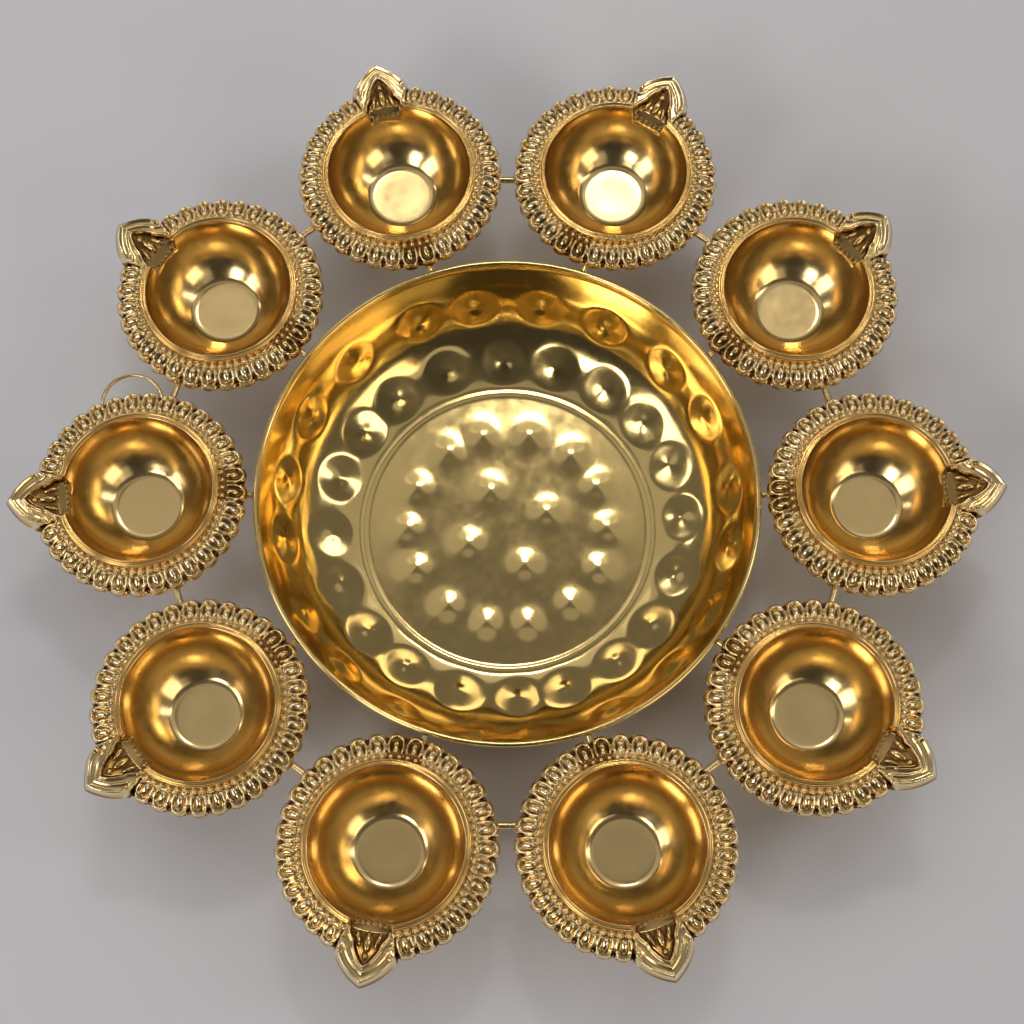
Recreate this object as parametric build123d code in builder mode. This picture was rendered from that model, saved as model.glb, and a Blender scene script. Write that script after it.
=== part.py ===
"""Urli: a spun metal water bowl carried inside a ring of ten spouted oil lamps.

Millimetres. The origin is the middle of the bowl's flat underside, and +Z is up.
Lamp 1 stands on +X, and the lamps are numbered anticlockwise seen from above.
"""
from build123d import *
from math import cos, radians, sin
import os

os.makedirs("parts", exist_ok=True)

# ---- bowl ----
BOWL_HEIGHT = 48.0
BOWL_RIM_RADIUS = 95.4  # outside of the rolled rim
BOWL_FLOOR_RADIUS = 54.0  # flat part of the floor
BOWL_HEEL_RADIUS = 37.0  # inside radius of the rounded heel
BOWL_WALL_ANGLE = 78.0  # slope of the wall above the heel, in degrees
BOWL_SHEET = 1.5
RIM_BEAD = 2.2  # diameter of the rolled rim

# ---- ring of lamps ----
LAMP_COUNT = 10
LAMP_STEP = 360.0 / LAMP_COUNT
RING_RADIUS = 137.0  # bowl axis to lamp axis
LIP_HEIGHT = 54.4  # top of each lamp's collar above the ground
# degrees by which each spout is turned from pointing straight out
SPOUT_TURN = (3, 4, -12, -5, 2, 5, 2, 8, 1, 4)

# ---- one lamp, heights measured down from the top of its collar ----
CUP_CURVE = 27.9  # inside radius of the round wall
CUP_CURVE_RISE = 2.2  # that curve's centre above the collar
CUP_DEPTH = 22.9
CUP_DISC_RADIUS = 10.8  # flat disc at the bottom
CUP_HEEL_RADIUS = 14.5  # where the wall meets the curve round the disc
CUP_SHEET = 1.2
FOOT_RADIUS = 12.0
COLLAR_WIDTH = 1.8
FLANGE_INNER = 31.6
FLANGE_OUTER = 40.0
FLANGE_DROP = 1.6  # top of the flange at its inner edge
FLANGE_EDGE_DROP = 5.6  # top of the flange at its outer edge
FLANGE_SHEET = 1.6
RIDGE_RADIUS = 0.75  # round ridge at the foot of the collar
PETAL_COUNT = 33  # petals in a full circle
SPOUT_PETALS = 3  # petals whose place the spout takes
PETAL_NOTCH = 1.3  # radius of the notch between two petals
PETAL_BEAD = 1.5  # radius of the bead on a petal's tip
PETAL_BEAD_RADIUS = 38.3
PETAL_BEAD_DROP = 4.6

# ---- spout, x along the spout from the lamp's axis ----
SPOUT_TIP = 49.5
SPOUT_ROOT = 30.0
SPOUT_SHOULDER = (38.5, 11.5)
SPOUT_SIDE = (45.0, 5.9)
SPOUT_TOP_DROP = 0.5
SPOUT_BOTTOM_DROP = 6.6
WICK_MOUTH = (24.0, 7.2)  # start and half-width of the wick channel
WICK_WAIST = (33.0, 6.2)
WICK_END = 43.5
WICK_DROP = 3.4
LEAF_EDGE = 26.0  # where the leaf under the wick ends over the cup
LEAF_HALF_WIDTH = 6.5
LEAF_SHEET = 1.0

# ---- joining wires ----
ROD_DIAMETER = 2.6
ROD_DROP = 8.6  # axis below the top of the lamps' collars
# distance of each rod inside the line that joins its two lamps' axes
ROD_INSET = (2.0, 0.0, 0.0, -3.0, -3.0, 3.0, 3.0, 7.5, 4.5, 4.0)
STRUT_START = 94.1  # inside the thickness of the bowl's wall
LOOP_WIRE = 1.4
LOOP_DROP = 10.9  # clears the rod above it
LOOP_RADIUS = 11.3
LOOP_LAMP = 5  # index of the lamp that carries the loop
LOOP_CENTRE = (-6.3, 37.6)  # from that lamp's axis


cup_outer = CUP_CURVE + CUP_SHEET
cup_radius = (CUP_CURVE**2 - CUP_CURVE_RISE**2) ** 0.5  # inside, at the collar


def lamp_axis(index):
    """Point on the top of a lamp's collar, on its axis."""
    angle = radians(index * LAMP_STEP)
    return Vector(RING_RADIUS * cos(angle), RING_RADIUS * sin(angle), LIP_HEIGHT)


def save(piece, name):
    """Label a finished piece and write its file."""
    piece.part.label = name
    export_step(piece.part, f"parts/{name}.step")


def cut_cup_walls(*indices):
    """Trim the piece being built to the outside of these lamps' round cups."""
    for index in indices:
        centre = lamp_axis(index) + Vector(0, 0, CUP_CURVE_RISE)
        with Locations(centre):
            Sphere(cup_outer, mode=Mode.SUBTRACT)


# ---- bowl: flat floor, round heel, steep wall and rolled rim ----
rim_centre = (BOWL_RIM_RADIUS - RIM_BEAD / 2, BOWL_HEIGHT - RIM_BEAD / 2)
heel_top = BOWL_SHEET + BOWL_HEEL_RADIUS * (1 - cos(radians(BOWL_WALL_ANGLE)))
wall_length = (rim_centre[1] - heel_top) / sin(radians(BOWL_WALL_ANGLE))

with BuildPart() as urli_bowl:
    with BuildSketch(Plane.XZ):
        with BuildLine():
            inner_floor = Line((0, BOWL_SHEET), (BOWL_FLOOR_RADIUS, BOWL_SHEET))
            inner_heel = JernArc(inner_floor @ 1, (1, 0), BOWL_HEEL_RADIUS, BOWL_WALL_ANGLE)
            inner_wall = PolarLine(inner_heel @ 1, wall_length, BOWL_WALL_ANGLE)
            outer_floor = Line((0, 0), (BOWL_FLOOR_RADIUS, 0))
            outer_heel = JernArc(
                outer_floor @ 1, (1, 0), BOWL_HEEL_RADIUS + BOWL_SHEET, BOWL_WALL_ANGLE
            )
            outer_wall = PolarLine(outer_heel @ 1, wall_length, BOWL_WALL_ANGLE)
            Line(inner_wall @ 1, outer_wall @ 1)
            Line(inner_floor @ 0, outer_floor @ 0)
        make_face()
        with Locations(rim_centre):
            Circle(RIM_BEAD / 2)
    revolve(axis=Axis.Z)
save(urli_bowl, "urli_bowl")

# ---- one lamp, made about its own axis with its spout along +X and its collar top at Z = 0 ----
cup_foot = -CUP_DEPTH - CUP_SHEET
heel = (CUP_HEEL_RADIUS, CUP_CURVE_RISE - (CUP_CURVE**2 - CUP_HEEL_RADIUS**2) ** 0.5)
flange_foot = -FLANGE_DROP - FLANGE_SHEET
outside_top = ((cup_outer**2 - (CUP_CURVE_RISE - flange_foot) ** 2) ** 0.5, flange_foot)
outside_heel = ((cup_outer**2 - (CUP_CURVE_RISE - heel[1]) ** 2) ** 0.5, heel[1])
collar_outer = cup_radius + COLLAR_WIDTH
petal_step = 360.0 / PETAL_COUNT
petals = PETAL_COUNT - SPOUT_PETALS
first_petal = petal_step * (SPOUT_PETALS + 1) / 2
last_petal = first_petal + petal_step * (petals - 1)

with BuildPart() as lamp_form:
    with BuildSketch(Plane.XZ):
        with BuildLine():
            Line((0, -CUP_DEPTH), (CUP_DISC_RADIUS, -CUP_DEPTH))
            TangentArc((CUP_DISC_RADIUS, -CUP_DEPTH), heel, tangent=(1, 0))
            RadiusArc(heel, (cup_radius, 0), -CUP_CURVE)
            Polyline(
                (cup_radius, 0),
                (collar_outer, 0),
                (collar_outer, -FLANGE_DROP),
                (FLANGE_INNER, -FLANGE_DROP),
                (FLANGE_OUTER, -FLANGE_EDGE_DROP),
                (FLANGE_OUTER, -FLANGE_EDGE_DROP - FLANGE_SHEET),
                (FLANGE_INNER, flange_foot),
                outside_top,
            )
            RadiusArc(outside_top, outside_heel, cup_outer)
            Polyline(outside_heel, (FOOT_RADIUS, cup_foot), (0, cup_foot), (0, -CUP_DEPTH))
        make_face()
        with Locations((collar_outer + RIDGE_RADIUS, -FLANGE_DROP)):
            Circle(RIDGE_RADIUS)
    revolve(axis=Axis.Z)

    # scalloped edge, with a bead on each petal
    with PolarLocations(
        FLANGE_OUTER + 0.4,
        petals + 1,
        start_angle=first_petal - petal_step / 2,
        angular_range=petal_step * petals,
        endpoint=True,
    ):
        Cylinder(PETAL_NOTCH, 4 * FLANGE_EDGE_DROP, mode=Mode.SUBTRACT)
    with Locations((0, 0, -PETAL_BEAD_DROP)):
        with PolarLocations(
            PETAL_BEAD_RADIUS,
            petals,
            start_angle=first_petal,
            angular_range=last_petal - first_petal,
            endpoint=True,
        ):
            Sphere(PETAL_BEAD)

    # leaf-shaped spout
    with BuildSketch(Plane.XY.offset(-SPOUT_BOTTOM_DROP)):
        with BuildLine():
            Line((SPOUT_ROOT, 0), (SPOUT_ROOT, SPOUT_SHOULDER[1]))
            Line((SPOUT_ROOT, SPOUT_SHOULDER[1]), SPOUT_SHOULDER)
            ThreePointArc(SPOUT_SHOULDER, SPOUT_SIDE, (SPOUT_TIP, 0))
            Line((SPOUT_TIP, 0), (SPOUT_ROOT, 0))
        make_face()
        mirror(about=Plane.XZ)
    extrude(amount=SPOUT_BOTTOM_DROP - SPOUT_TOP_DROP)

    # wick channel through the collar and along the leaf
    with BuildSketch(Plane.XY.offset(-WICK_DROP)):
        with BuildLine():
            Polyline(
                (WICK_MOUTH[0], 0), WICK_MOUTH, WICK_WAIST, (WICK_END, 0), (WICK_MOUTH[0], 0)
            )
        make_face()
        mirror(about=Plane.XZ)
    extrude(amount=WICK_DROP, mode=Mode.SUBTRACT)

    # edge of the leaf, standing out over the cup
    with BuildSketch(Plane.XY.offset(-WICK_DROP - LEAF_SHEET)):
        with Locations((LEAF_EDGE, 0)):
            Rectangle(
                SPOUT_ROOT - LEAF_EDGE + 1,
                2 * LEAF_HALF_WIDTH,
                align=(Align.MIN, Align.CENTER),
            )
    extrude(amount=LEAF_SHEET)

# ---- ten lamps, each turned to its own heading ----
for index in range(LAMP_COUNT):
    heading = index * LAMP_STEP + SPOUT_TURN[index]
    with BuildPart() as lamp:
        with Locations(Location(lamp_axis(index), (0, 0, heading))):
            add(lamp_form.part)
    save(lamp, f"diya_{index + 1:02d}")

# ---- rods that join each lamp to the next, under the flanges ----
for index in range(LAMP_COUNT):
    after = (index + 1) % LAMP_COUNT
    middle = (lamp_axis(index) + lamp_axis(after)) / 2
    outward = Vector(middle.X, middle.Y, 0).normalized()
    along = (lamp_axis(after) - lamp_axis(index)).normalized()
    centre = middle - outward * ROD_INSET[index] - Vector(0, 0, ROD_DROP)
    span = (lamp_axis(after) - lamp_axis(index)).length - cup_radius
    with BuildPart() as rod:
        with BuildSketch(Plane(origin=centre - along * span / 2, z_dir=along)):
            Circle(ROD_DIAMETER / 2)
        extrude(amount=span)
        cut_cup_walls(index, after)
    save(rod, f"link_rod_{index + 1:02d}")

# ---- struts from the bowl's wall to the lamps' cups ----
for index in range(LAMP_COUNT):
    angle = radians(index * LAMP_STEP)
    outward = Vector(cos(angle), sin(angle), 0)
    start = outward * STRUT_START + Vector(0, 0, LIP_HEIGHT - ROD_DROP)
    with BuildPart() as strut:
        with BuildSketch(Plane(origin=start, z_dir=outward)):
            Circle(ROD_DIAMETER / 2)
        extrude(amount=RING_RADIUS - STRUT_START - cup_radius / 2)
        cut_cup_walls(index)
        add(urli_bowl.part, mode=Mode.SUBTRACT)
    save(strut, f"bowl_strut_{index + 1:02d}")

# ---- small wire loop under one lamp's flange ----
loop_lamp = lamp_axis(LOOP_LAMP)
loop_centre = loop_lamp + Vector(LOOP_CENTRE[0], LOOP_CENTRE[1], -LOOP_DROP)
leg_length = LOOP_CENTRE[1] - cup_radius / 2
side = Vector(LOOP_RADIUS, 0, 0)
leg = Vector(0, leg_length, 0)

with BuildPart() as wire_loop:
    with BuildLine() as loop_path:
        Line(loop_centre - side - leg, loop_centre - side)
        ThreePointArc(
            loop_centre - side, loop_centre + Vector(0, LOOP_RADIUS, 0), loop_centre + side
        )
        Line(loop_centre + side, loop_centre + side - leg)
    with BuildSketch(Plane(origin=loop_path.line @ 0, z_dir=loop_path.line % 0)):
        Circle(LOOP_WIRE / 2)
    sweep()
    cut_cup_walls(LOOP_LAMP)
save(wire_loop, "wire_loop")
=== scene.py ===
"""Looks of the urli: a hammered bowl ringed by ten spouted oil lamps, all gold plated."""
import math
import bpy
import numpy as np
from mathutils import Matrix, Vector


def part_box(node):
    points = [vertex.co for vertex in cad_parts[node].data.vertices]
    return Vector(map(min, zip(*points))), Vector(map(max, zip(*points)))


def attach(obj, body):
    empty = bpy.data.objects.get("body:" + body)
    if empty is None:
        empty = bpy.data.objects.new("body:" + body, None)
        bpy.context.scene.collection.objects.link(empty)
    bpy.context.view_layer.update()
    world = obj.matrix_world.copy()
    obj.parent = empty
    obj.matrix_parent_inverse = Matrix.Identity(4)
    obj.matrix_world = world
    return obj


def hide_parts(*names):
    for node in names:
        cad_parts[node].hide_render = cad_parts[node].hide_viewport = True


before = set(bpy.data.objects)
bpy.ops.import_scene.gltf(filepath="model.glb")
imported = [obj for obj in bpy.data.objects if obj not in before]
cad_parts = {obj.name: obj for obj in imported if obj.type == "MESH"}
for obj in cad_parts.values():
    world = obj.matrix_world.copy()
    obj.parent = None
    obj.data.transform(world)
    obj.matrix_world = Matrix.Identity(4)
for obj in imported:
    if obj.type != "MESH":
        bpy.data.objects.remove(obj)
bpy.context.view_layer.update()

MM = 0.001  # the object's lengths below are in millimetres, the studio's in metres

# ---- camera ----
CAMERA_ELEVATION = 73.485  # degrees above the horizon
CAMERA_DISTANCE = 669.3
CAMERA_AIM = (1.8, -9.1)  # point looked at, in the plane of the lamps' collars
CAMERA_LENS = 63.8
SENSOR_WIDTH = 36

# ---- lamp, about its own axis: spout along +X, top of the collar at Z = 0 ----
FOOT_BAND = 0.1  # height over its lowest point that counts as a CAD lamp's foot
HIGHEST = -0.02  # nothing rises past this, so the lamp stays inside the CAD box

CUP_CURVE = 27.9  # radius of the cup's round wall
CUP_CURVE_RISE = 2.2  # height of its centre
CUP_DEPTH = 22.9
CUP_SHEET = 1.2
CUP_LIP = -0.9  # height where the wall turns into the collar
LEAF_LIP = -7.5  # the same under the wick
DISC_RADIUS = 10.8
HEEL_RADIUS = 14.5

FOOT_RADIUS = 12.0
FOOT_RING = 1.2  # width of the ring it stands on
FOOT_FLARE = (1.2, 0.35)  # how far the foot spreads over that ring, and how high
FOOT_RECESS = (1.8, 0.4)  # distance in from the foot's edge, and depth
FOOT_MIDDLE = 5  # radius of the recess's innermost row
UNDER_CURVE_END = 22.6  # depth where the round underside meets the foot

PETAL_COUNT = 33  # in a full circle; the spout takes the place of three
SPOUT_PETALS = 3
PETAL_STEP = 2 * math.pi / PETAL_COUNT
SPOUT_ANGLE = SPOUT_PETALS * PETAL_STEP / 2
PETAL_SAMPLES = 20
SPOUT_SAMPLES = 110
RELIEF_INNER = 30.2  # radius where the collar ends and the relief starts
RELIEF_ROWS = 52

PETAL_FOOT = -2.9  # height at the foot of the petals
PETAL_CENTRE = 36.25  # middle of a petal's round end
PETAL_ROUND = 3.75
PETAL_START = (32.2, 33.1)  # the petals rise between these radii
FALL_START = 31.6  # radius where their tops start to fall outwards
FALL_SLOPE = 0.33
ROLL_START = 38.9  # radius where their ends start to roll over
ROLL_RATE = 0.45
PETAL_RIM = (1.2, 0.58)  # height and width of the raised rim
PETAL_RIM_ROUND = 2.7
PETAL_RIM_INSET = 0.75  # from the gap between petals
DOME_PLACE = 35.0  # radius where the dome inside each petal sits
DOME_LENGTH = 2.5  # half its length
DOME_WIDTH = 1.3  # half its width
DOME_HEIGHT = 1.25
GAP_WIDTH = 0.65
END_GAP_DEPTH = 1.6  # between the petals' round ends
END_GAP = (35.6, 37.4)  # radii over which that gap deepens
FOOT_GAP_DEPTH = 0.7  # between their feet
FOOT_GAP = (32.6, 34.2)  # radii over which that gap ends
LOBE = 0.62  # how far the edge dips between petals, as a share of full round ends

BEAD_RING = 31.25
BEAD_COUNT = 66
BEAD_SIZE = 0.95
BEAD_HEIGHT = 1.15

# one half of the spout's plan, from the shoulder to the tip
SPOUT_OUTLINE = ((38.6, 11.3), (40.5, 10.4), (43.8, 8.0), (46.7, 4.8), (48.8, 1.6), (49.5, 0))
SPOUT_SIDE = (15.3, 16.3)  # degrees over which the spout's relief gives way to petals
SPOUT_TIP = 49.5
SPOUT_CREST = (-0.12, 0.085)  # height of its crest at the tip, and its fall towards the cup
SPOUT_SINK = 0.95  # how far its top lies under the crest
SPOUT_LINES = ((1.9, 0.75, 0.62), (4.6, 0.5, 0.45))  # distance from the edge, height, width
BEVEL_WIDTH = 1.9
BEVEL_RISE = 0.3  # over the crest
BEVEL_SLOPE = 2.4

# one half of the rim round the wick channel
WICK_RIM = (
    (26.2, 6.6), (29, 7.0), (31, 6.9), (34.1, 5.0), (36, 4.6), (38, 3.6), (40.5, 2.0), (42.3, 0),
)
WICK_RIM_RIDGE = (1.15, 0.5)  # height and width
# round beads: x, y, radius, height
WICK_BEADS = (
    (38.5, 0, 0.9, 0.8), (26.9, 5.3, 0.95, 0.8), (26.6, 3.2, 0.9, 0.7), (26.5, 1.1, 0.9, 0.7),
    (35.6, 9.7, 1.3, 0.9), (37.8, 9.0, 1.0, 0.8), (32.2, 9.3, 1.3, 1.1),
)
# raised drops: x, y, half length, half width, height, turn in plan
WICK_DROPS = ((33.8, 0, 3.3, 1.35, 1.6, 0), (32.8, 3.5, 2.5, 0.85, 1.0, -0.28))
CHANNEL_FLOOR = -4.35
CHANNEL_CLIMB = 1.7  # rise of its floor towards the tip
CLIMB_SPAN = (32, 42.3)  # from and to these distances from the axis
CHANNEL_SIDE = 0.9  # width of its sloping sides
CHANNEL_END = (41.4, 42.2)
WICK_SHADE = 0.54  # how much painted shade the wick channel and the leaf under it get

# section of the collar, and of the leaf under the wick that stands out over the cup
COLLAR = (
    (27.72, -0.6), (27.76, -0.2), (28.1, -0.02), (28.42, -0.3), (28.65, -0.75),
    (28.95, -0.6), (29.4, -0.12), (29.9, -0.3), (30.12, -1.4), (30.2, -3.1),
)
LEAF = (
    (26.3, -7.3), (25.9, -7.0), (25.75, -6.6), (25.85, -6.2), (26.2, -5.95),
    (26.9, -5.65), (27.7, -5.3), (28.6, -4.95), (29.4, -4.65), (30.2, -4.35),
)
LEAF_SIDE = (13.0, 15.6)  # degrees over which the leaf gives way to the collar
LEAF_REACH = 26  # distance of the leaf's straight edge from the axis
LEAF_REACH_FADE = 3  # distance from the relief over which that edge turns straight
LEAF_TOP = -6.21  # height above which the leaf carries relief

EDGE_BOTTOM = (-7.3, -6.6)  # bottom of the flange's edge: petals, spout
UNDER_JOIN = (-3.6, -6.6)  # height where the underside meets the cup: petals, spout
EDGE_INSET = 0.9
# section of the edge: inset, share of the way down
EDGE_STEPS = ((0, 0.25), (0, 0.5), (0.08, 0.75), (0.35, 0.93), (EDGE_INSET, 1.0))

# ---- bowl ----
FLOOR_RADIUS = 54.0  # outside of the flat base
BOWL_HEEL = 37.0
WALL_ANGLE = math.radians(78)
BOWL_SHEET = 1.5
OUTSIDE_HEEL = BOWL_HEEL + BOWL_SHEET
FLOOR_EDGE = 56.6  # inside: flat floor, tight fillet, then a rounder heel
FILLET = 9.0
FILLET_TURN = math.radians(9)
INNER_HEEL = 39.6
RIM_BEAD = 2.2
RIM_TURN = (math.radians(200), math.radians(-80))  # how far the rim is rolled
RIM_OUTSET = 0.4  # how far the rolled rim stands out, as a share of its radius
RIM_GAP = 0.6  # between the rolled rim and the outside wall under it
FLOOR_START = 1.5  # innermost row of the floor
FINE_EDGE = 2.0  # width at the floor's edge where the rows are closer
BOWL_COLUMNS = 480

DIMPLES = 20  # in each row
DIMPLE_ROWS = ((26.7, 2.5), (63.5, 9.0))  # slope of the heel there and first dimple, in degrees
DIMPLE_RADIUS = 9.3
DIMPLE_DEPTH = 1.2
DIMPLE_SOFTNESS = 0.14
DIMPLE_TIP = (0.5, 2.8)  # height and width of the punched middle
FLOOR_BUMPS = ((14, 40.0, 0.0), (4, 17.0, 0.4))  # count, ring radius, first angle in radians
BUMP = (0.85, 5.2)  # height and width
UNEVEN = 0.022  # hand placing of each hammer mark, in radians
HAND_SEED = 7
FLOOR_LINE = (57.1, 0.36, 1.15)  # fine ring round the floor: radius, height, width
RIM_LINE = (2.2, 0.3, 0.5)  # fine line inside the rim: distance below it, height, width

# ---- rows in each stretch of the lamp's and the bowl's sections ----
DISC_ROWS, CURVE_ROWS, CUP_ROWS, UNDER_ROWS, OUTSIDE_ROWS = 3, 9, 17, 5, 13
FLOOR_ROWS, EDGE_ROWS, FILLET_ROWS, HEEL_ROWS, WALL_ROWS = 38, 8, 7, 44, 46
RIM_ROWS, OUTER_WALL_ROWS, OUTER_HEEL_ROWS, BASE_ROWS = 16, 8, 26, 4

# ---- colours ----
LAMP_COLOUR = (0.95, 0.675, 0.29)
BOWL_COLOUR = (0.94, 0.68, 0.26)
WIRE_COLOUR = (0.86, 0.64, 0.30)
PAINTED_SHADE = (0.24, 0.12, 0.03)  # painted shade, in recesses
PAINTED_HIGHLIGHT = (1.0, 0.84, 0.54)  # painted highlight on crests
TARNISH = 0.93  # how dark the duller clouds in the plating are
PAINTED_SHADE_SPAN = (0.08, 0.7)  # depth of a recess, from where the painted shade starts to where it is darkest
PAINTED_HIGHLIGHT_SPAN = (-0.02, -0.28)  # height of a crest, from where the painted highlight starts to where it is palest; crests count as negative
GRAIN_HEIGHT = 0.06
FLOOR_COLOURS = ((0.66, 0.65, 0.68), (0.74, 0.73, 0.76))

# ---- light ----
WHITE = (1.0, 1.0, 1.0)
WARM = (1.0, 0.86, 0.62)
SKY = (0.98, 0.97, 1.0)
SKY_STRENGTH = (0.04, 0.15)  # in front, behind
SKY_SPAN = (-0.7, 0.1)  # direction's share along Y over which it changes
# name, slope seen from the object (sideways, back), size, radiance, colour, height
PANELS = (
    ("back_lamp", (0.03, 0.5), (0.22, 0.11), 17, WHITE, 1.3),
    ("ceiling_back", (0, 0.68), (1.5, 0.6), 0.38, WHITE, 1.6),
    ("ceiling_left", (-0.43, 0.3), (0.95, 0.95), 0.26, WHITE, 1.6),
    ("ceiling_right", (0.43, 0.3), (0.95, 0.95), 0.23, WHITE, 1.6),
    ("ceiling_front", (0, -0.06), (0.9, 0.32), 0.2, WHITE, 1.6),
    ("front_soft_left", (-0.6, -0.85), (0.75, 0.55), 0.4, WHITE, 1.5),
    ("front_soft_right", (0.6, -0.85), (0.75, 0.55), 0.4, WHITE, 1.5),
    ("back_low_left", (-1.1, 2.4), (0.5, 0.3), 1.6, WARM, 0.5),
    ("back_low_right", (0.9, 2.4), (0.5, 0.3), 1.6, WARM, 0.5),
    ("front_left", (-0.66, -0.83), (0.5, 0.45), 6.5, WHITE, 1.3),
    ("left_panel", (-1.36, -0.43), (0.8, 1.0), 3, WHITE, 1.3),
    ("left_spot", (-1.33, 0.52), (0.15, 0.25), 5, WHITE, 1.3),
    ("front_right", (1.25, -0.9), (1.0, 0.8), 2.6, WARM, 1.3),
    ("right_panel", (1.07, 0.1), (0.25, 0.9), 3, WHITE, 1.3),
)
FILL = ("fill", (-0.1, 0.3), (1.6, 1.6), 0.58, WHITE, 1.8)
FLOOR_REACH = 6.0


def ease(value, low, high):
    """Smooth step from 0 at low to 1 at high."""
    t = np.clip((value - low) / (high - low), 0, 1)
    return t * t * (3 - 2 * t)


def smooth_path(points, steps=14):
    """Points of a Catmull-Rom curve through the given ones."""
    p = np.array(points, float)
    p = np.vstack([2 * p[0] - p[1], p, 2 * p[-1] - p[-2]])
    t = np.linspace(0, 1, steps, endpoint=False)[:, None]
    found = []
    for a, b, c, d in zip(p, p[1:], p[2:], p[3:]):
        found.append(
            0.5 * (2 * b + (c - a) * t + (2 * a - 5 * b + 4 * c - d) * t**2
                   + (3 * b - a - 3 * c + d) * t**3)
        )
    return np.vstack([*found, p[-2:-1]])


def distance_to(path, x, y):
    """Distance in plan from each grid point to a path."""
    best = np.full(x.shape, np.inf)
    for px, py in path:
        best = np.minimum(best, np.hypot(x - px, y - py))
    return best


def ridge(distance, height, width):
    return height * np.exp(-((distance / width) ** 2))


def dome(distance, height, radius):
    return height * np.sqrt(np.clip(1 - (distance / radius) ** 2, 0, 1))


def between(ends, share):
    """Value a share of the way from the first end to the second."""
    return ends[0] + (ends[1] - ends[0]) * share


def round_point(centre, bottom, curve, turn):
    """Radius and height on a round section that starts flat at the bottom."""
    return centre + curve * math.sin(turn), bottom + curve * (1 - math.cos(turn))


def polar_shell(name, angles, radii, heights, pole_top, pole_bottom):
    """Closed mesh whose rows run from the inside of the bottom over the rim to the outside."""
    rows, columns = radii.shape
    x = radii * np.cos(angles)
    y = radii * np.sin(angles)
    grid = np.stack([x, y, heights], -1).reshape(-1, 3)
    points = np.vstack([grid, [(0, 0, pole_top), (0, 0, pole_bottom)]]) * MM
    here = np.arange(columns)
    after = np.roll(here, -1)
    faces = []
    for row in range(rows - 1):
        low, high = row * columns, (row + 1) * columns
        faces += np.stack([low + here, high + here, high + after, low + after], -1).tolist()
    inner, outer = rows * columns, rows * columns + 1
    last = (rows - 1) * columns
    faces += [(inner, int(a), int(b)) for a, b in zip(here, after)]
    faces += [(outer, int(last + b), int(last + a)) for a, b in zip(here, after)]
    mesh = bpy.data.meshes.new(name)
    mesh.from_pydata(points.tolist(), [], faces)
    mesh.shade_smooth()
    return mesh


def mark_shade_and_highlight(mesh, shade_and_highlight_amounts):
    """Keep, for the shader, how much painted shade (positive) or painted highlight (negative) each grid
    point gets.
    """
    attribute = mesh.attributes.new("shade_and_highlight", "FLOAT", "POINT")
    values = np.zeros(len(mesh.vertices), np.float32)
    values[: shade_and_highlight_amounts.size] = shade_and_highlight_amounts.ravel()
    attribute.data.foreach_set("value", values)


def blurred(grid, reach):
    """Mean of each grid value and its neighbours."""
    total = np.zeros_like(grid)
    for row in range(-reach, reach + 1):
        shifted = np.take(grid, np.clip(np.arange(len(grid)) + row, 0, len(grid) - 1), axis=0)
        for column in range(-reach, reach + 1):
            total += np.roll(shifted, column, axis=1)
    return total / (2 * reach + 1) ** 2


# ---- lamp mesh ----
def petal_relief(radius, angle):
    """Top of the flange where the petals are. Angle is from the middle of the nearest petal."""
    top = PETAL_FOOT - FALL_SLOPE * np.clip(radius - FALL_START, 0, None)
    top = top - ROLL_RATE * np.clip(radius - ROLL_START, 0, None) ** 2

    across = np.abs(radius * angle)
    gap = radius * PETAL_STEP / 2 - across
    from_rim = np.where(
        radius < PETAL_CENTRE,
        np.abs(PETAL_RIM_INSET - gap),
        np.abs(np.hypot(across, radius - PETAL_CENTRE) - PETAL_RIM_ROUND),
    )
    start = ease(radius, *PETAL_START)
    top = top + start * ridge(from_rim, *PETAL_RIM)
    from_dome = np.hypot(across / DOME_WIDTH, (radius - DOME_PLACE) / DOME_LENGTH)
    top = top + start * dome(from_dome, DOME_HEIGHT, 1.0)

    depth = END_GAP_DEPTH * ease(radius, *END_GAP)
    depth = depth + FOOT_GAP_DEPTH * (1 - ease(radius, *FOOT_GAP)) * start
    return top - ridge(gap, depth, GAP_WIDTH)


def bead_relief(radius, angles):
    """What the row of fine beads beside the collar adds."""
    step = 2 * math.pi / BEAD_COUNT
    across = ((angles - SPOUT_ANGLE) / step % 1 - 0.5) * step * radius
    return dome(np.hypot(across, radius - BEAD_RING), BEAD_HEIGHT, BEAD_SIZE)


def wick_relief(x, y):
    """What stands up from the leaf under the wick: its rim, beads and drops."""
    y = np.abs(y)
    top = ridge(distance_to(smooth_path(WICK_RIM), x, y), *WICK_RIM_RIDGE)
    for bead_x, bead_y, size, height in WICK_BEADS:
        top = top + dome(np.hypot(x - bead_x, y - bead_y), height, size)
    for drop_x, drop_y, length, width, height, turn in WICK_DROPS:
        along = (x - drop_x) * math.cos(turn) + (y - drop_y) * math.sin(turn)
        aside = (y - drop_y) * math.cos(turn) - (x - drop_x) * math.sin(turn)
        top = top + dome(np.hypot(along / length, aside / width), height, 1.0)
    return top


def wick_channel(x, y):
    """1 in the channel where the wick lies, 0 outside it."""
    rim_x, rim_y = np.array(WICK_RIM).T
    inside = np.interp(x, rim_x, rim_y) - np.abs(y)
    return ease(inside, 0, CHANNEL_SIDE) * (1 - ease(x, *CHANNEL_END))


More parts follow.
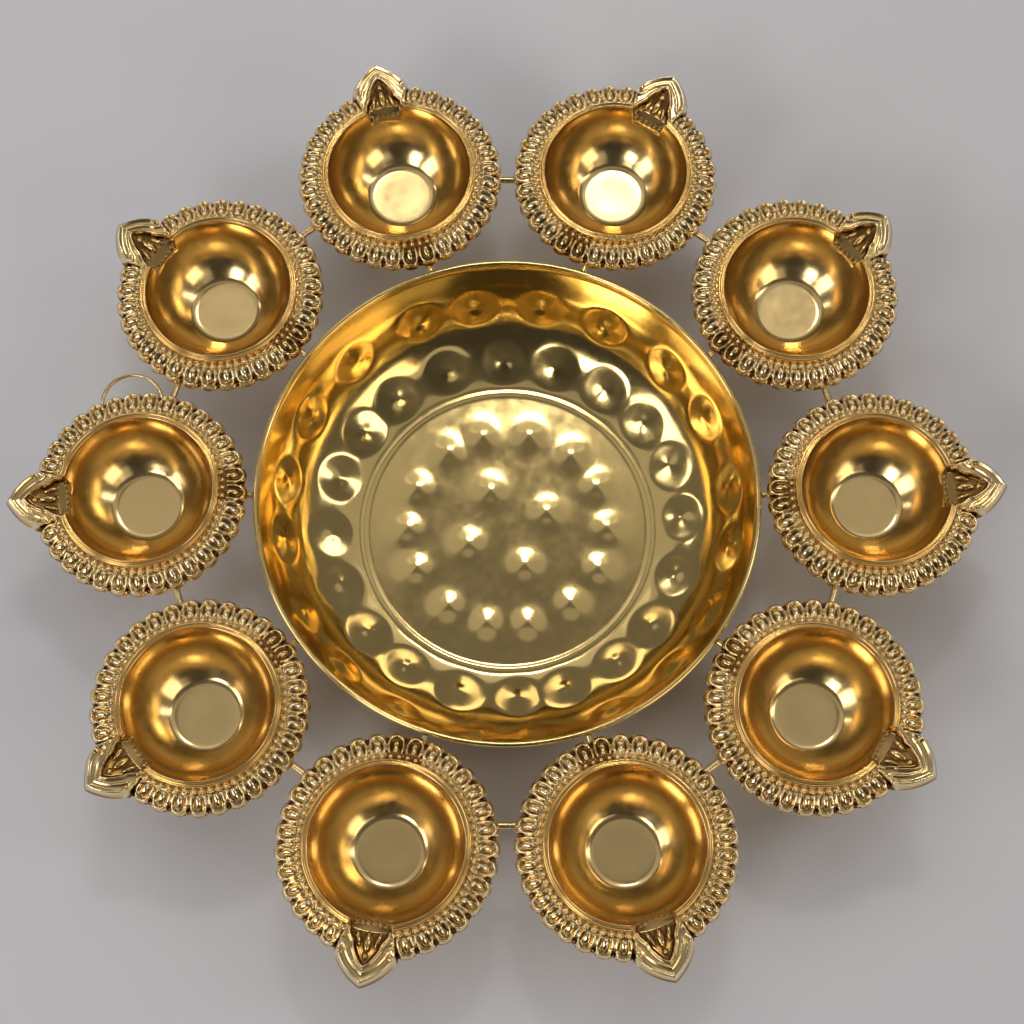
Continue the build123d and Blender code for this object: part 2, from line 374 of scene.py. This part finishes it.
def spout_relief(x, y):
    """Top of the spout and of the wick channel."""
    inset = distance_to(smooth_path(SPOUT_OUTLINE, steps=30), x, np.abs(y))
    tip_height, fall = SPOUT_CREST
    crest = tip_height - fall * (SPOUT_TIP - x)
    top = crest - SPOUT_SINK
    for place, height, width in SPOUT_LINES:
        top = top + ridge(inset - place, height, width)
    top = np.minimum(top, crest + BEVEL_RISE - BEVEL_SLOPE * (BEVEL_WIDTH - inset))
    floor = CHANNEL_FLOOR + CHANNEL_CLIMB * ease(x, *CLIMB_SPAN)
    top = top + (floor - top) * wick_channel(x, y)
    return top + wick_relief(x, y)


def flange_edge(angle, nearest_petal):
    """Radius of the lamp's edge: scalloped petals, then the spout's outline."""
    full = PETAL_CENTRE + PETAL_ROUND
    offset = PETAL_CENTRE * np.sin(nearest_petal)
    petals = PETAL_CENTRE * np.cos(nearest_petal) + np.sqrt(PETAL_ROUND**2 - offset**2)
    petals = full + LOBE * (petals - full)
    plan = smooth_path(SPOUT_OUTLINE)
    plan_angle = np.arctan2(plan[:, 1], plan[:, 0])[::-1]
    plan_radius = np.hypot(plan[:, 0], plan[:, 1])[::-1]
    spout = np.interp(np.abs(angle), plan_angle, plan_radius)
    return np.where(np.abs(angle) < SPOUT_ANGLE, spout, petals)


def lamp_angles():
    """Directions of the lamp's columns, closer together round the spout."""
    spout = np.linspace(-SPOUT_ANGLE, SPOUT_ANGLE, SPOUT_SAMPLES, endpoint=False)
    petals = PETAL_COUNT - SPOUT_PETALS
    rest = np.linspace(
        SPOUT_ANGLE, 2 * math.pi - SPOUT_ANGLE, petals * PETAL_SAMPLES, endpoint=False
    )
    return np.concatenate([spout, rest])


def cup_rows(leaf):
    """Inside of the cup: disc, curve round it, round wall. Rows are radii and heights."""
    rows = [(radius, -CUP_DEPTH) for radius in np.linspace(2, DISC_RADIUS, DISC_ROWS)]
    heel_z = CUP_CURVE_RISE - math.sqrt(CUP_CURVE**2 - HEEL_RADIUS**2)
    run, rise = HEEL_RADIUS - DISC_RADIUS, heel_z + CUP_DEPTH
    curve = (run**2 + rise**2) / (2 * rise)
    for turn in np.linspace(0, math.asin(run / curve), CURVE_ROWS)[1:]:
        rows.append(round_point(DISC_RADIUS, -CUP_DEPTH, curve, turn))
    wall_end = between((CUP_LIP, LEAF_LIP), leaf)
    start = math.asin(HEEL_RADIUS / CUP_CURVE)
    end = np.arccos((CUP_CURVE_RISE - wall_end) / CUP_CURVE)
    for step in np.linspace(0, 1, CUP_ROWS)[1:]:
        turn = between((start, end), step)
        rows.append((CUP_CURVE * np.sin(turn), CUP_CURVE_RISE - CUP_CURVE * np.cos(turn)))
    return rows


def collar_rows(signed, leaf):
    """Collar, or the edge of the leaf where the wick lies, and how much painted shade each row gets."""
    straight = 1 / np.cos(signed * leaf)
    rows, shades = [], []
    sections = zip(smooth_path(COLLAR, steps=3), smooth_path(LEAF, steps=3))
    for (collar_r, collar_z), (leaf_r, leaf_z) in sections:
        straighten = LEAF_REACH * ease(RELIEF_INNER - leaf_r, 0, LEAF_REACH_FADE)
        leaf_radius = leaf_r + (straight - 1) * straighten
        radius = between((collar_r, leaf_radius), leaf)
        height = between((collar_z, leaf_z), leaf)
        on_top = leaf_z >= LEAF_TOP
        if on_top:
            height = height + wick_relief(radius * np.cos(signed), radius * np.sin(signed))
        rows.append((radius, np.minimum(height, HIGHEST)))
        shades.append(leaf * WICK_SHADE * on_top)
    return rows, shades


def relief_rows(angles, signed, nearest, edge, spout):
    """Petals, beads and spout, from the collar to the edge."""
    rows = []
    for step in np.linspace(0, 1, RELIEF_ROWS + 1)[1:]:
        radius = between((RELIEF_INNER, edge), step)
        petals = petal_relief(radius, nearest) + bead_relief(radius, angles)
        tip = spout_relief(radius * np.cos(signed), radius * np.sin(signed))
        rows.append((radius, np.minimum(between((petals, tip), spout), HIGHEST)))
    return rows


def underside_rows(edge, edge_top, spout):
    """Edge of the flange, underside, outside of the cup, foot."""
    below = between(EDGE_BOTTOM, spout)
    rows = [(edge - inset, between((edge_top, below), share)) for inset, share in EDGE_STEPS]
    under_z = between(UNDER_JOIN, spout)
    outside = CUP_CURVE + CUP_SHEET
    under_r = np.sqrt(outside**2 - (CUP_CURVE_RISE - under_z) ** 2)
    for step in np.linspace(0, 1, UNDER_ROWS)[1:]:
        rows.append((between((edge - EDGE_INSET, under_r), step), between((below, under_z), step)))
    start = np.arccos((CUP_CURVE_RISE - under_z) / outside)
    end = math.acos((CUP_CURVE_RISE + UNDER_CURVE_END) / outside)
    for step in np.linspace(0, 1, OUTSIDE_ROWS)[1:]:
        turn = between((start, end), step)
        rows.append((outside * np.sin(turn), CUP_CURVE_RISE - outside * np.cos(turn)))
    foot = -CUP_DEPTH - CUP_SHEET
    recess_in, recess = FOOT_RECESS
    rows += [
        (FOOT_RADIUS + FOOT_FLARE[0], foot + FOOT_FLARE[1]),
        (FOOT_RADIUS, foot),
        (FOOT_RADIUS - FOOT_RING, foot),
        (FOOT_RADIUS - recess_in, foot + recess),
        (FOOT_MIDDLE, foot + recess),
    ]
    return rows


def lamp_mesh():
    angles = lamp_angles()
    signed = (angles + math.pi) % (2 * math.pi) - math.pi
    turns = (angles - SPOUT_ANGLE) / PETAL_STEP
    nearest = (turns - np.floor(turns) - 0.5) * PETAL_STEP
    leaf = 1 - ease(np.abs(np.degrees(signed)), *LEAF_SIDE)
    spout = 1 - ease(np.abs(np.degrees(signed)), *SPOUT_SIDE)
    edge = flange_edge(signed, nearest)

    cup = cup_rows(leaf)
    collar, shades = collar_rows(signed, leaf)
    relief = relief_rows(angles, signed, nearest, edge, spout)
    underside = underside_rows(edge, relief[-1][1], spout)
    rows = cup + collar + relief + underside
    ones = np.ones_like(angles)
    radii = np.array([radius * ones for radius, _ in rows])
    heights = np.array([height * ones for _, height in rows])
    mesh = polar_shell("lamp", angles, radii, heights, -CUP_DEPTH, heights[-1][0])

    shade_and_highlight_amounts = np.zeros_like(heights)
    first = len(cup) + len(collar)
    last = first + len(relief)
    # the leaf under the wick gets painted shade
    shade_and_highlight_amounts[len(cup):first] = shades
    # points below their surroundings get painted shade, points above them a painted highlight
    shade_and_highlight_amounts[first:last] = blurred(heights[first:last], reach=5) - heights[first:last]
    # the wick channel gets more painted shade
    plan_x, plan_y = radii[first:last] * np.cos(signed), radii[first:last] * np.sin(signed)
    shade_and_highlight_amounts[first:last] += WICK_SHADE * wick_channel(plan_x, plan_y)
    mark_shade_and_highlight(mesh, shade_and_highlight_amounts)
    return mesh


# ---- bowl mesh ----
def bowl_inside(top):
    """Plain section of the inside, from the middle of the floor to the rim, and its heel row."""
    plain = np.linspace(FLOOR_START, FLOOR_EDGE - 1.2 * FINE_EDGE, FLOOR_ROWS)
    fine = np.linspace(FLOOR_EDGE - FINE_EDGE, FLOOR_EDGE, EDGE_ROWS)
    section = [(radius, BOWL_SHEET) for radius in (*plain, *fine)]
    for turn in np.linspace(0, FILLET_TURN, FILLET_ROWS)[1:]:
        section.append(round_point(FLOOR_EDGE, BOWL_SHEET, FILLET, turn))
    heel_row = len(section) - 1
    start_r, start_z = section[heel_row]
    for turn in np.linspace(FILLET_TURN, WALL_ANGLE, HEEL_ROWS)[1:]:
        section.append((start_r + INNER_HEEL * (math.sin(turn) - math.sin(FILLET_TURN)),
                        start_z + INNER_HEEL * (math.cos(FILLET_TURN) - math.cos(turn))))
    foot_r, foot_z = section[-1]
    climb = top - RIM_BEAD / 2 - foot_z
    # the wall's rows crowd towards the rim, where the fine line is
    for step in 2 * ease(np.linspace(0, 1, WALL_ROWS)[1:-1], -1, 1) - 1:
        section.append((foot_r + climb * step / math.tan(WALL_ANGLE), foot_z + climb * step))
    rim_radius = foot_r + climb / math.tan(WALL_ANGLE)
    return np.array(section), heel_row, rim_radius


def hammer_marks(section, heel_row, angles):
    """How far hammer marks and fine lines push each point of the inside, square to the sheet."""
    length = np.concatenate([[0], np.cumsum(np.hypot(*np.diff(section, axis=0).T))])[:, None]
    radius = section[:, :1]
    push = np.zeros((len(section), BOWL_COLUMNS))
    hand = np.random.default_rng(HAND_SEED)
    for slope, first in DIMPLE_ROWS:
        place = length[heel_row] + INNER_HEEL * (math.radians(slope) - FILLET_TURN)
        for index in range(DIMPLES):
            middle = math.radians(first) + index * (2 * math.pi / DIMPLES) + hand.normal(0, UNEVEN)
            offset = (angles - middle + math.pi) % (2 * math.pi) - math.pi
            apart = np.hypot(length - place, radius * offset)
            cap = (1 - (apart / DIMPLE_RADIUS) ** 2) / DIMPLE_SOFTNESS
            push += DIMPLE_DEPTH * DIMPLE_SOFTNESS * np.logaddexp(0, cap)
            push += ridge(apart, *DIMPLE_TIP)
    for count, ring, first in FLOOR_BUMPS:
        for index in range(count):
            angle = first + 2 * math.pi * index / count + hand.normal(0, UNEVEN)
            apart = np.hypot(radius * np.cos(angles) - ring * math.cos(angle),
                             radius * np.sin(angles) - ring * math.sin(angle))
            push += ridge(apart, *BUMP)
    below, line_height, line_width = RIM_LINE
    push += ridge(length - length[-1] + below, line_height, line_width)
    ring, ring_height, ring_width = FLOOR_LINE
    push += ridge(radius - ring, ring_height, ring_width)
    return push


def bowl_outside(top, rim_radius):
    """Rolled rim, outside wall, heel and flat base."""
    bead = RIM_BEAD / 2
    section = []
    for turn in np.linspace(*RIM_TURN, RIM_ROWS):
        section.append((rim_radius + bead * RIM_OUTSET + bead * math.cos(turn),
                        top - bead + bead * math.sin(turn)))
    foot_r, foot_z = round_point(FLOOR_RADIUS, 0, OUTSIDE_HEEL, WALL_ANGLE)
    for step in np.linspace(1, 0, OUTER_WALL_ROWS):
        climb = (top - RIM_BEAD - RIM_GAP - foot_z) * step
        section.append((foot_r + climb / math.tan(WALL_ANGLE), foot_z + climb))
    for turn in np.linspace(WALL_ANGLE, 0, OUTER_HEEL_ROWS)[1:-1]:
        section.append(round_point(FLOOR_RADIUS, 0, OUTSIDE_HEEL, turn))
    section += [(radius, 0) for radius in np.linspace(FLOOR_RADIUS, 2, BASE_ROWS)]
    return np.array(section)


def bowl_mesh(top):
    """top is the height of the rim, in millimetres."""
    angles = np.linspace(0, 2 * math.pi, BOWL_COLUMNS, endpoint=False)
    inner, heel_row, rim_radius = bowl_inside(top)
    push = hammer_marks(inner, heel_row, angles)
    slope = np.gradient(inner, axis=0)
    slope /= np.hypot(*slope.T)[:, None]
    inner_r = inner[:, :1] - slope[:, 1:] * push
    inner_z = inner[:, 1:] + slope[:, :1] * push
    outer = bowl_outside(top, rim_radius)
    flat = np.ones(BOWL_COLUMNS)
    radii = np.vstack([inner_r, outer[:, :1] * flat])
    heights = np.vstack([inner_z, outer[:, 1:] * flat])
    return polar_shell("bowl", angles, radii, heights, BOWL_SHEET, 0)


# ---- materials ----
def new_material(name):
    material = bpy.data.materials.new(name)
    material.use_nodes = True
    nodes, links = material.node_tree.nodes, material.node_tree.links
    return material, nodes, links, nodes["Principled BSDF"]


def noise(nodes, links, coordinates, scale, detail):
    node = nodes.new("ShaderNodeTexNoise")
    node.inputs["Scale"].default_value = scale
    node.inputs["Detail"].default_value = detail
    node.inputs["Roughness"].default_value = 0.55
    links.new(coordinates, node.inputs["Vector"])
    return node.outputs["Fac"]


def span(nodes, links, value, low, high, from_low=0.3, from_high=0.7):
    """Map a value's usual range to low..high."""
    node = nodes.new("ShaderNodeMapRange")
    node.inputs["From Min"].default_value = from_low
    node.inputs["From Max"].default_value = from_high
    node.inputs["To Min"].default_value = low
    node.inputs["To Max"].default_value = high
    links.new(value, node.inputs["Value"])
    return node.outputs["Result"]


def mix(nodes, links, factor, first, second):
    node = nodes.new("ShaderNodeMix")
    node.data_type = "RGBA"
    links.new(factor, node.inputs["Factor"])
    colour_a, colour_b = node.inputs[6], node.inputs[7]
    for socket, colour in ((colour_a, first), (colour_b, second)):
        if isinstance(colour, tuple):
            socket.default_value = (*colour, 1)
        else:
            links.new(colour, socket)
    return node.outputs[2]  # the colour result


def gold(name, colour, smooth, rough, grain):
    """Plated gold: uneven polish, fine grain, a painted highlight on crests and painted shade in
    recesses.
    """
    material, nodes, links, shader = new_material(name)
    place = nodes.new("ShaderNodeTexCoord").outputs["Object"]
    shader.inputs["Metallic"].default_value = 1.0

    cloud = noise(nodes, links, place, scale=28, detail=3)
    smear = noise(nodes, links, place, scale=260, detail=5)
    dull = tuple(TARNISH * c for c in colour)
    tint = mix(nodes, links, span(nodes, links, cloud, 0, 1), colour, dull)
    shade_and_highlight = nodes.new("ShaderNodeAttribute")
    shade_and_highlight.attribute_name = "shade_and_highlight"
    depth = span(nodes, links, shade_and_highlight.outputs["Fac"], 0, 1, *PAINTED_SHADE_SPAN)
    crest = span(nodes, links, shade_and_highlight.outputs["Fac"], 0, 1, *PAINTED_HIGHLIGHT_SPAN)
    # crests get a painted highlight
    highlighted = mix(nodes, links, crest, tint, PAINTED_HIGHLIGHT)
    # recesses get painted shade
    links.new(mix(nodes, links, depth, highlighted, PAINTED_SHADE), shader.inputs["Base Color"])
    links.new(span(nodes, links, smear, smooth, rough), shader.inputs["Roughness"])

    fine = nodes.new("ShaderNodeBump")
    fine.inputs["Strength"].default_value = grain
    fine.inputs["Distance"].default_value = GRAIN_HEIGHT * MM
    links.new(noise(nodes, links, place, scale=700, detail=2), fine.inputs["Height"])
    links.new(fine.outputs["Normal"], shader.inputs["Normal"])
    return material


def floor_material():
    material, nodes, links, shader = new_material("pale_floor")
    place = nodes.new("ShaderNodeTexCoord").outputs["Object"]
    cloud = noise(nodes, links, place, scale=3.5, detail=4)
    links.new(mix(nodes, links, cloud, *FLOOR_COLOURS), shader.inputs["Base Color"])
    shader.inputs["Roughness"].default_value = 0.6
    return material


# ---- pieces ----
def corners(node):
    """Vertices of a CAD node, in metres."""
    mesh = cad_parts[node].data
    found = np.empty(len(mesh.vertices) * 3, np.float32)
    mesh.vertices.foreach_get("co", found)
    return found.reshape(-1, 3)


def add_piece(name, mesh, material, node):
    mesh.materials.append(material)
    piece = bpy.data.objects.new(name, mesh)
    bpy.context.scene.collection.objects.link(piece)
    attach(piece, "root")
    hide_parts(node)


def make_lamps(material):
    """One lamp over each CAD lamp, centred on its foot and turned the way its spout points."""
    pattern = lamp_mesh()
    for node in sorted(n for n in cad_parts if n.startswith("diya_")):
        points = corners(node)
        low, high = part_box(node)
        foot = points[points[:, 2] < low.z + FOOT_BAND * MM]
        axis = (foot.min(0) + foot.max(0)) / 2
        reach = points[:, :2] - axis[:2]
        tip = reach[np.argmax(np.hypot(*reach.T))]
        mesh = pattern.copy()
        turn = Matrix.Rotation(math.atan2(tip[1], tip[0]), 4, "Z")
        mesh.transform(Matrix.Translation((axis[0], axis[1], high.z)) @ turn)
        add_piece(node.replace("diya", "lamp"), mesh, material, node)
    bpy.data.meshes.remove(pattern)


def make_bowl(material):
    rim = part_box("urli_bowl")[1].z
    add_piece("hammered_bowl", bowl_mesh(rim / MM), material, "urli_bowl")


def finish_wires(material):
    """The rods, struts and loop keep their CAD shapes."""
    for name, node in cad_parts.items():
        if name.startswith(("link_rod", "bowl_strut", "wire_loop")):
            node.data.materials.clear()
            node.data.materials.append(material)


def make_floor():
    mesh = bpy.data.meshes.new("floor")
    far = FLOOR_REACH
    mesh.from_pydata([(-far, -far, 0), (far, -far, 0), (far, far, 0), (-far, far, 0)], [], [(0, 1, 2, 3)])
    mesh.materials.append(floor_material())
    floor = bpy.data.objects.new("floor", mesh)
    bpy.context.scene.collection.objects.link(floor)


# ---- light and camera ----
def make_sky():
    """Dim surroundings, brighter behind the object than in front."""
    world = bpy.data.worlds.new("studio")
    world.use_nodes = True
    nodes, links = world.node_tree.nodes, world.node_tree.links
    nodes["Background"].inputs["Color"].default_value = (*SKY, 1)
    direction = nodes.new("ShaderNodeSeparateXYZ")
    links.new(nodes.new("ShaderNodeTexCoord").outputs["Generated"], direction.inputs["Vector"])
    links.new(span(nodes, links, direction.outputs["Y"], *SKY_STRENGTH, *SKY_SPAN),
              nodes["Background"].inputs["Strength"])
    bpy.context.scene.world = world


def add_panel(name, slope, size, radiance, colour, height):
    """Soft light that faces the object from that slope."""
    data = bpy.data.lights.new(name, "AREA")
    data.shape = "RECTANGLE"
    data.size, data.size_y = size
    data.energy = radiance * math.pi * size[0] * size[1]
    data.color = colour
    light = bpy.data.objects.new(name, data)
    place = Vector((slope[0] * height, slope[1] * height, height))
    light.location = place
    light.rotation_euler = (-place).to_track_quat("-Z", "Y").to_euler()
    light.visible_camera = False
    bpy.context.scene.collection.objects.link(light)
    return light


def make_lights():
    make_sky()
    for panel in PANELS:
        add_panel(*panel)
    add_panel(*FILL).visible_glossy = False
    bpy.context.scene.view_settings.view_transform = "Standard"


def make_camera():
    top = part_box("diya_01")[1].z
    aim = Vector((CAMERA_AIM[0] * MM, CAMERA_AIM[1] * MM, top))
    rise = math.radians(CAMERA_ELEVATION)
    away = Vector((0, -math.cos(rise), math.sin(rise))) * CAMERA_DISTANCE * MM
    data = bpy.data.cameras.new("camera")
    data.lens = CAMERA_LENS
    data.sensor_width = SENSOR_WIDTH
    camera = bpy.data.objects.new("camera", data)
    camera.location = aim + away
    camera.rotation_euler = (-away).to_track_quat("-Z", "Y").to_euler()
    bpy.context.scene.collection.objects.link(camera)
    bpy.context.scene.camera = camera


lamp_gold = gold("lamp_gold_plate", LAMP_COLOUR, smooth=0.14, rough=0.22, grain=0.06)
bowl_gold = gold("bowl_gold_plate", BOWL_COLOUR, smooth=0.1, rough=0.16, grain=0.05)
wire_gold = gold("wire_gold_plate", WIRE_COLOUR, smooth=0.18, rough=0.32, grain=0.4)

make_lamps(lamp_gold)
make_bowl(bowl_gold)
finish_wires(wire_gold)
make_floor()
make_lights()
make_camera()

bpy.context.view_layer.update()
